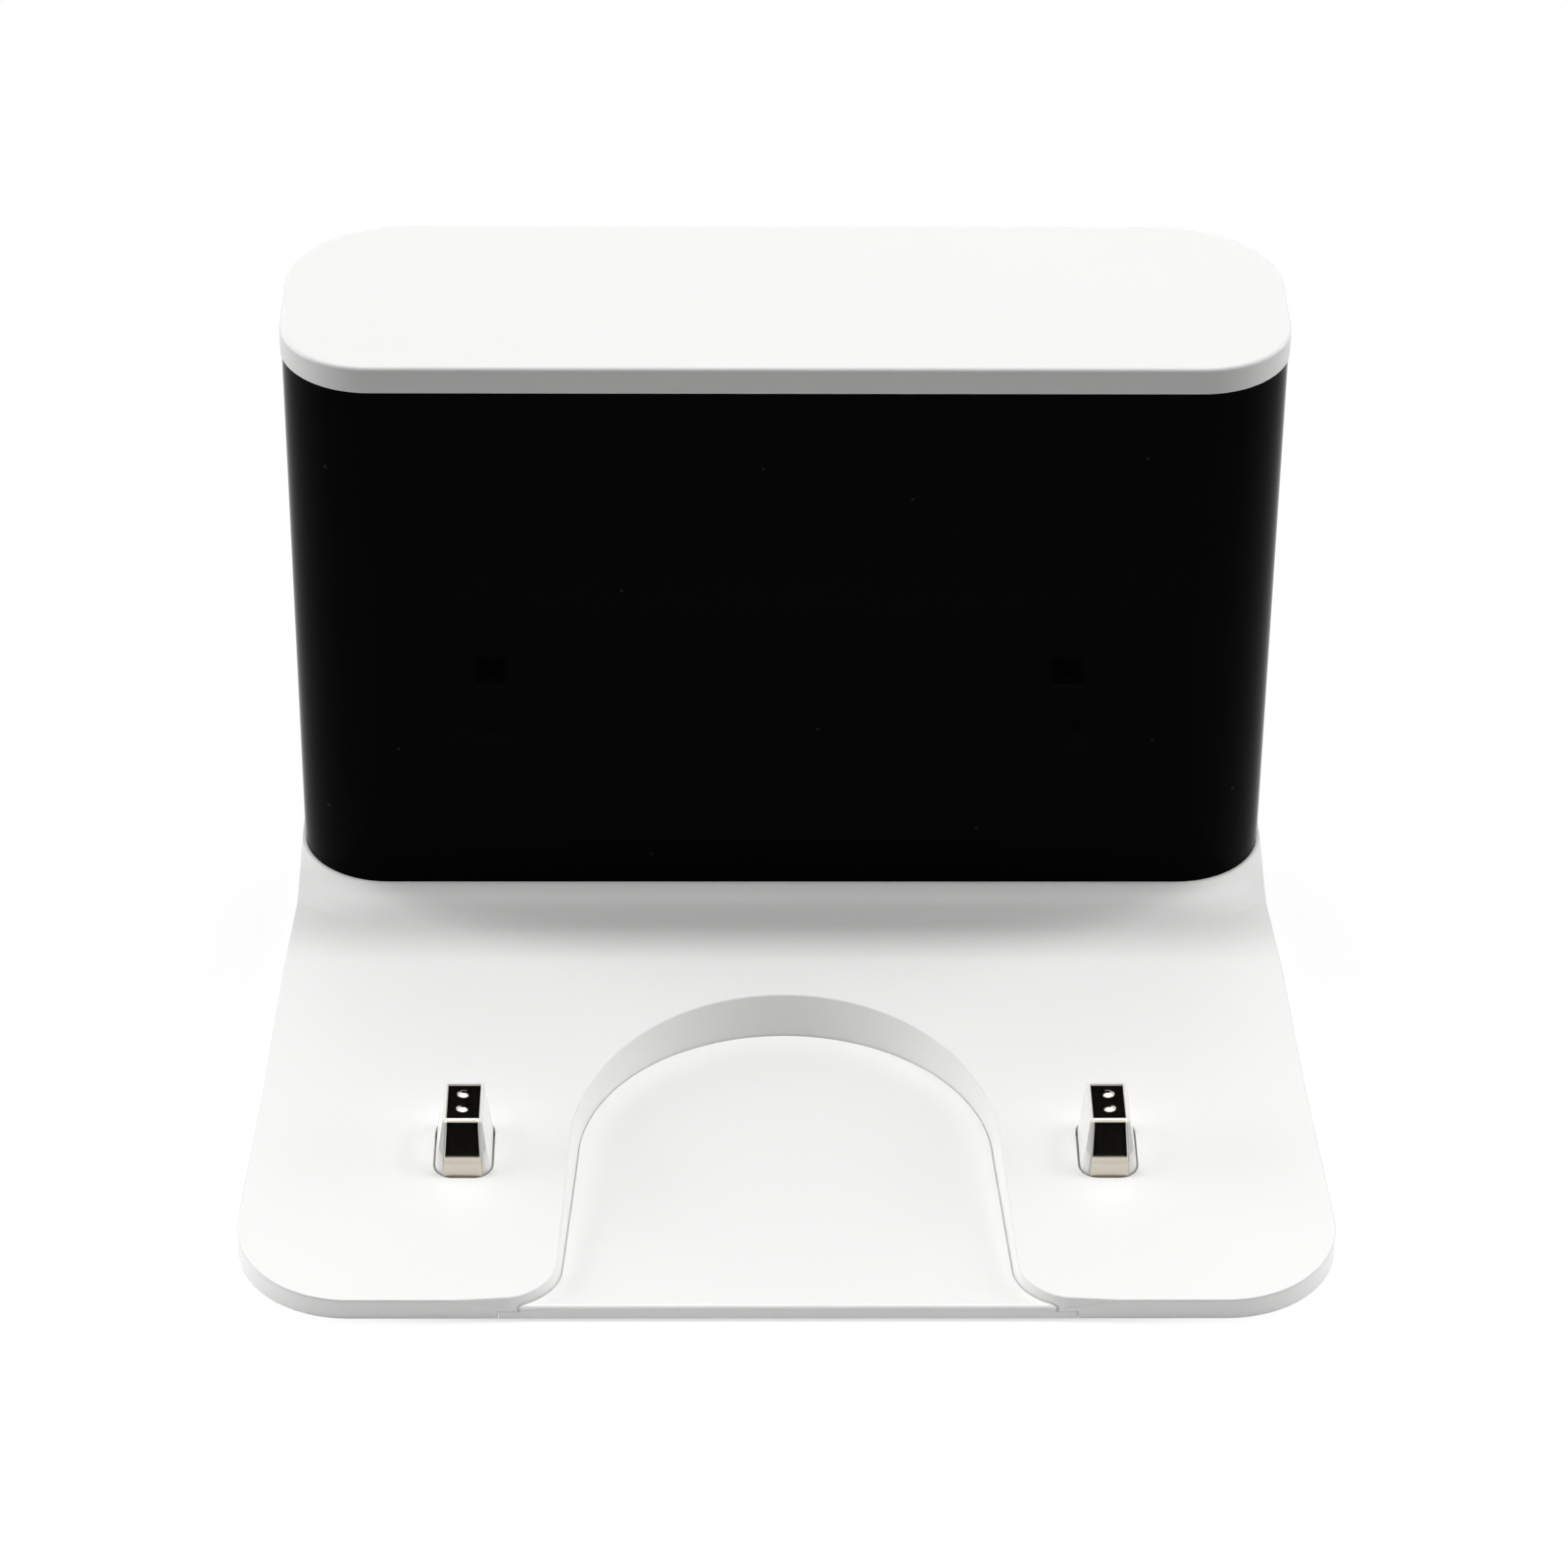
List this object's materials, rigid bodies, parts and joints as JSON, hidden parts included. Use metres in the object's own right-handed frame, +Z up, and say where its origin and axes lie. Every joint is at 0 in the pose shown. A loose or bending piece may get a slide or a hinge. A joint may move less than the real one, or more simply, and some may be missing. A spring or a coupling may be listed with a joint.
{
  "type": "robot vacuum charging dock",
  "caption": "White charging dock for a robot vacuum: a shallow ramp with a horseshoe recess, two sprung nickel contacts, a glossy black tower and an open lead bay behind.",
  "frame": {"origin": "centre of the dock's bounding box on the floor under its rubber feet", "axes": "+X to the dock's right seen from its front, +Y to the back, +Z up"},
  "size_m": [0.151, 0.13, 0.098],
  "materials": {
    "white_abs": "satin",
    "black_gloss_abs": "gloss",
    "black_nylon": "matte",
    "natural_nylon": "satin",
    "rubber": "matte",
    "steel": "satin",
    "spring_steel": "satin",
    "nickel": "gloss",
    "brass": "satin",
    "aluminium": "satin",
    "circuit_board": "satin",
    "ferrite": "matte",
    "capacitor_sleeve": "gloss",
    "copper_winding": "gloss",
    "yellow_film_case": "satin",
    "smoked_epoxy": "gloss",
    "clear_epoxy": "gloss",
    "wire_sleeve": "satin"
  },
  "bodies": {
    "dock": {"base_shell": "white_abs", "bottom_cover": "white_abs", "rubber_feet": "rubber", "cover_screws": "steel", "front_panel": "black_gloss_abs", "rear_shell": "white_abs", "top_cap": "white_abs", "tower_screws": "steel", "mains_inlet": "black_nylon", "inlet_pins": "nickel", "inlet_leads": "wire_sleeve", "power_board": "circuit_board", "board_screws": "steel", "transformer": "ferrite", "bulk_capacitors": "capacitor_sleeve", "line_choke": "copper_winding", "noise_capacitor": "yellow_film_case", "mains_fuse": "black_nylon", "bridge_rectifier": "black_nylon", "heat_sink": "aluminium", "output_capacitors": "capacitor_sleeve", "contact_connector": "natural_nylon", "beacon_board": "circuit_board", "beacon_screws": "steel", "infrared_emitters": "smoked_epoxy", "beacon_hood": "black_nylon", "status_light": "clear_epoxy", "beacon_harness": "wire_sleeve", "left_contact_spring": "spring_steel", "right_contact_spring": "spring_steel", "left_contact_terminal": "brass", "right_contact_terminal": "brass", "left_contact_lead": "wire_sleeve", "right_contact_lead": "wire_sleeve"},
    "left_contact": {"left_contact_carrier": "white_abs", "left_contact_strip": "nickel"},
    "right_contact": {"right_contact_carrier": "white_abs", "right_contact_strip": "nickel"}
  },
  "joints": [
    {"name": "left_contact_press", "type": "slide", "parent": "dock", "child": "left_contact", "axis": [0, 0, -1], "range_m": [0, 0.0015], "stiffness_N_per_m": 200, "springref_m": -0.002, "deforming": ["left_contact_spring"]},
    {"name": "right_contact_press", "type": "slide", "parent": "dock", "child": "right_contact", "axis": [0, 0, -1], "range_m": [0, 0.0015], "stiffness_N_per_m": 200, "springref_m": -0.002, "deforming": ["right_contact_spring"]}
  ]
}
